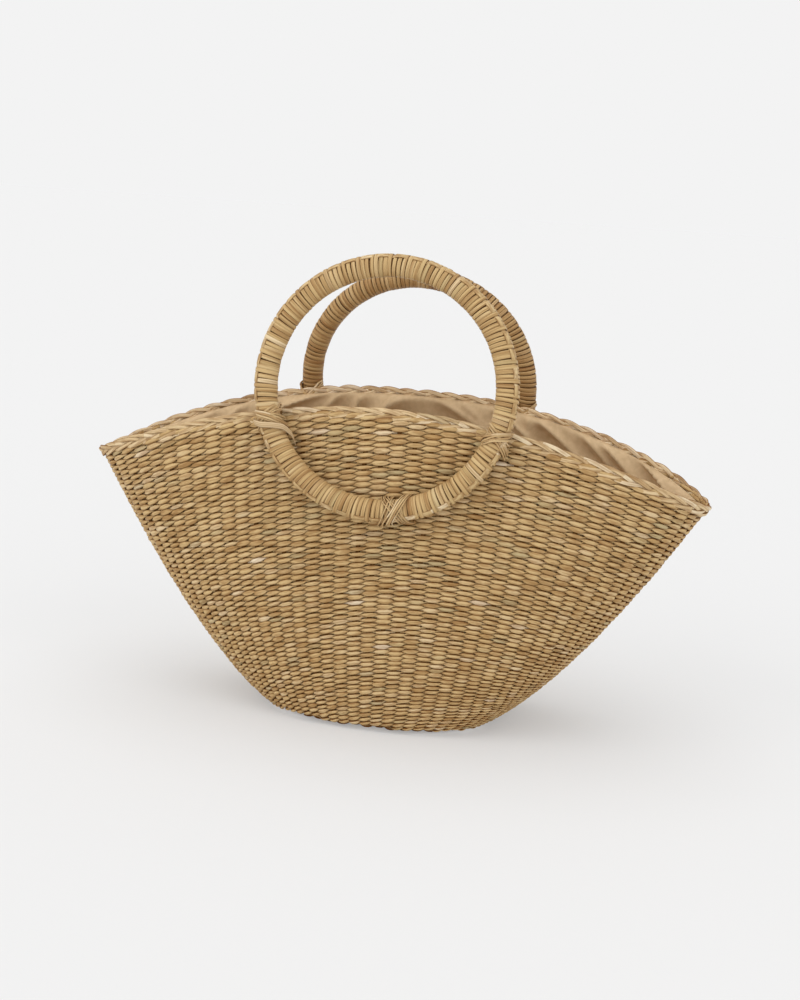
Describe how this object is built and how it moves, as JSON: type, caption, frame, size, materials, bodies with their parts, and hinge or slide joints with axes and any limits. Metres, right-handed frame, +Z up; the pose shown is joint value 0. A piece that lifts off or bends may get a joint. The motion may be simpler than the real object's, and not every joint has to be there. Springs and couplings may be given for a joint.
{
  "type": "woven tote bag",
  "caption": "Fan-shaped woven tote bag on an oval base, with a plaited rim, cloth lining and two bound ring handles lashed to its flexing sides.",
  "frame": {"origin": "middle of the base's underside, on the surface that the bag stands on", "axes": "+Z up, +X to the right as seen from the front, the front panel faces -Y"},
  "size_m": [0.4636, 0.2008, 0.3432],
  "materials": {
    "weave": "dry straw, slight sheen",
    "braid": "dry straw, slight sheen",
    "cane": "bare cane",
    "strip": "smooth split cane, satin",
    "lining": "plain cotton, soft sheen"
  },
  "bodies": {
    "basket": {"woven_base": "weave", "woven_body": "weave", "left_corner_braid": "braid", "right_corner_braid": "braid", "floor_lining": "lining", "corner_lining": "lining"},
    "front_side": {"front_woven_panel": "weave", "front_rim_braid": "braid", "front_lining": "lining", "front_ring_core": "cane", "front_ring_binding": "strip", "front_ring_rail": "strip", "front_left_lashing": "strip", "front_right_lashing": "strip", "front_foot_lashing": "strip"},
    "back_side": {"back_woven_panel": "weave", "back_rim_braid": "braid", "back_lining": "lining", "back_ring_core": "cane", "back_ring_binding": "strip", "back_ring_rail": "strip", "back_left_lashing": "strip", "back_right_lashing": "strip", "back_foot_lashing": "strip"}
  },
  "joints": [
    {"name": "front_side_lean", "type": "hinge", "parent": "basket", "child": "front_side", "pos_m": [0, -0.07405, 0.06], "axis": [1, 0, 0], "range_deg": [-8.5, 10], "stiffness_Nm_per_rad": 3},
    {"name": "back_side_lean", "type": "hinge", "parent": "basket", "child": "back_side", "pos_m": [0, 0.07405, 0.06], "axis": [-1, 0, 0], "range_deg": [-8.5, 10], "stiffness_Nm_per_rad": 3}
  ]
}
